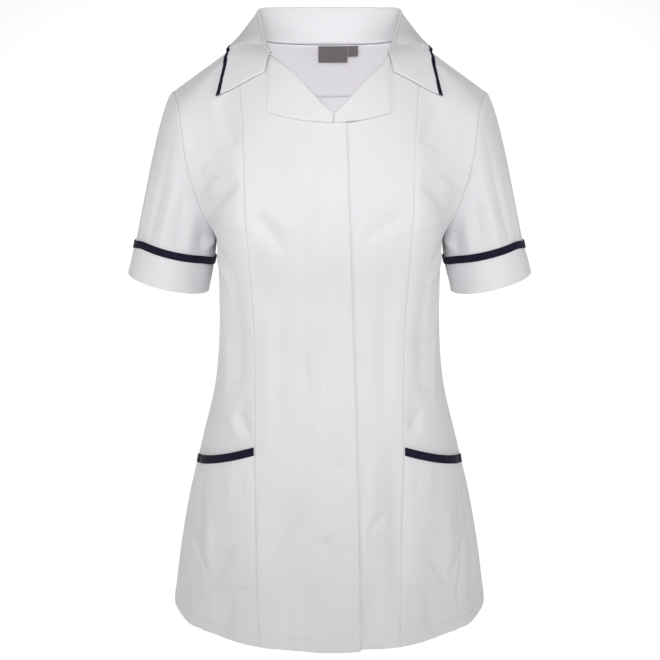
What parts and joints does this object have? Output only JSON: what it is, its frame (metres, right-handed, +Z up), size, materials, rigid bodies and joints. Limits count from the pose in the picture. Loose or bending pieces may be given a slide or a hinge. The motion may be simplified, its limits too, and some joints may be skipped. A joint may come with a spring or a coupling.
{
  "type": "medical tunic",
  "caption": "Short-sleeved healthcare tunic with revere collar and lapels, contrast bindings, turned-up cuffs and pockets, filled out as worn.",
  "frame": {"origin": "middle of the neck at the height where the shoulder seams begin, where a wearer's shoulders hold the tunic up", "axes": "+Z up along the body, -Y out of the front, +X towards the wearer's left"},
  "size_m": [0.5038, 0.2796, 0.7726],
  "materials": {
    "white_cloth": "matt white polycotton twill",
    "navy_binding": "matt very dark navy binding",
    "grey_label": "smooth woven grey label, bare"
  },
  "bodies": {
    "root": {"back": "white_cloth", "back_neck_facing": "white_cloth", "chest_pocket_left": "white_cloth", "chest_pocket_right": "white_cloth", "collar": "white_cloth", "collar_binding": "navy_binding", "cuff_binding_left": "navy_binding", "cuff_binding_right": "navy_binding", "cuff_left": "white_cloth", "cuff_right": "white_cloth", "front_centre_left": "white_cloth", "front_centre_right": "white_cloth", "front_side_left": "white_cloth", "front_side_right": "white_cloth", "hip_pocket_left": "white_cloth", "hip_pocket_right": "white_cloth", "label_main": "grey_label", "label_size": "grey_label", "lapel_left": "white_cloth", "lapel_right": "white_cloth", "pocket_binding_left": "navy_binding", "pocket_binding_right": "navy_binding", "sleeve_left": "white_cloth", "sleeve_right": "white_cloth"}
  },
  "joints": []
}
